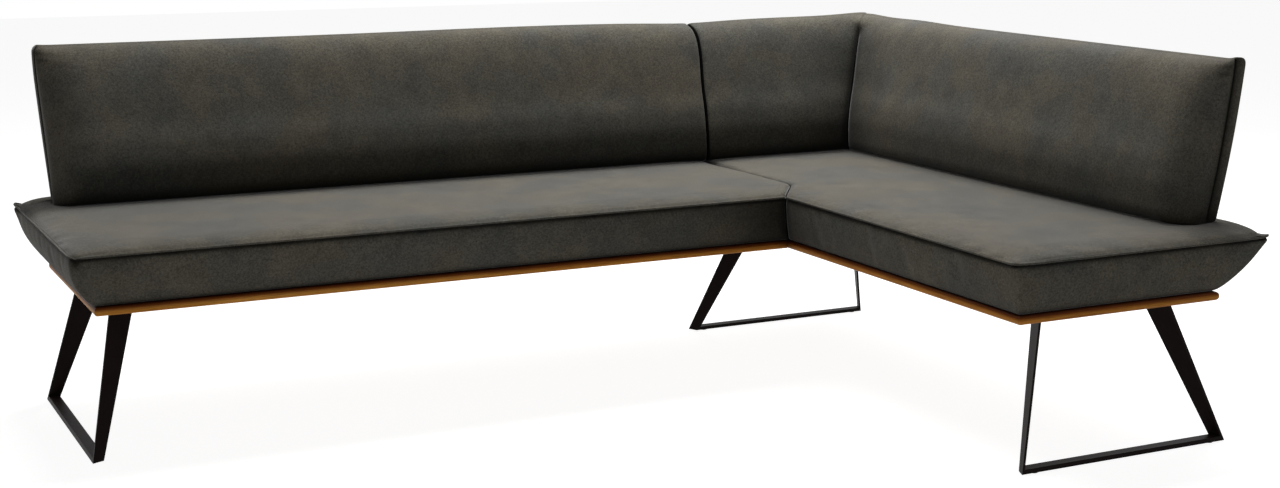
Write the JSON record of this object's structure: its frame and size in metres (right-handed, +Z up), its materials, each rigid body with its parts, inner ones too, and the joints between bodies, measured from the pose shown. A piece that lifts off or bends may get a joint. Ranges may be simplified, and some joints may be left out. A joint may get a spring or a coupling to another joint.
{
  "type": "upholstered corner bench",
  "caption": "L-shaped upholstered dining bench with leaning padded backrests, oak plinth boards and black flat-steel runner legs",
  "frame": {"origin": "On the floor, under the centre of the bounding box of the whole bench.", "axes": "+X along the long wing towards the corner, +Y from the seat front of the long wing towards its backrest, +Z up."},
  "size_m": [2.486, 1.656, 0.873],
  "materials": {
    "upholstery": "matte microfibre",
    "oak": "oiled",
    "black_steel": "satin powder coat",
    "beech": "unfinished",
    "plywood": "unfinished",
    "foam": "matte",
    "webbing": "woven",
    "lining": "non-woven",
    "zinc_steel": "zinc plated",
    "glide_plastic": "matte"
  },
  "bodies": {
    "root": {"back_brackets": "zinc_steel", "bracket_screws": "zinc_steel", "connector_plates": "zinc_steel", "connector_screws": "zinc_steel", "corner_back_board": "plywood", "corner_back_cover": "upholstery", "corner_back_foam": "foam", "corner_runner_first_leg": "black_steel", "corner_runner_foot_bar": "black_steel", "corner_runner_last_leg": "black_steel", "corner_runner_top_plate": "black_steel", "floor_glides": "glide_plastic", "frame_screws": "zinc_steel", "front_runner_first_leg": "black_steel", "front_runner_foot_bar": "black_steel", "front_runner_last_leg": "black_steel", "front_runner_top_plate": "black_steel", "long_back_board": "plywood", "long_back_cover": "upholstery", "long_back_foam": "foam", "long_plinth_end_rail": "oak", "long_plinth_front_rail": "oak", "long_plinth_joint_rail": "oak", "long_plinth_middle_rail": "oak", "long_plinth_rear_rail": "oak", "long_runner_first_leg": "black_steel", "long_runner_foot_bar": "black_steel", "long_runner_last_leg": "black_steel", "long_runner_top_plate": "black_steel", "long_seat_cover": "upholstery", "long_seat_cross_rails": "beech", "long_seat_dust_cover": "lining", "long_seat_foam": "foam", "long_seat_front_rail": "beech", "long_seat_left_rail": "beech", "long_seat_rear_rail": "beech", "long_seat_right_rail": "beech", "long_seat_webbing": "webbing", "runner_screws": "zinc_steel", "short_back_board": "plywood", "short_back_cover": "upholstery", "short_back_foam": "foam", "short_plinth_front_rail": "oak", "short_plinth_inner_rail": "oak", "short_plinth_joint_rail": "oak", "short_plinth_middle_rail": "oak", "short_plinth_outer_rail": "oak", "short_plinth_rear_rail": "oak", "short_seat_cover": "upholstery", "short_seat_cross_rails": "beech", "short_seat_dust_cover": "lining", "short_seat_foam": "foam", "short_seat_front_rail": "beech", "short_seat_inner_rail": "beech", "short_seat_joint_rail": "beech", "short_seat_outer_rail": "beech", "short_seat_rear_rail": "beech", "short_seat_step_rail": "beech", "short_seat_webbing": "webbing"}
  },
  "joints": []
}
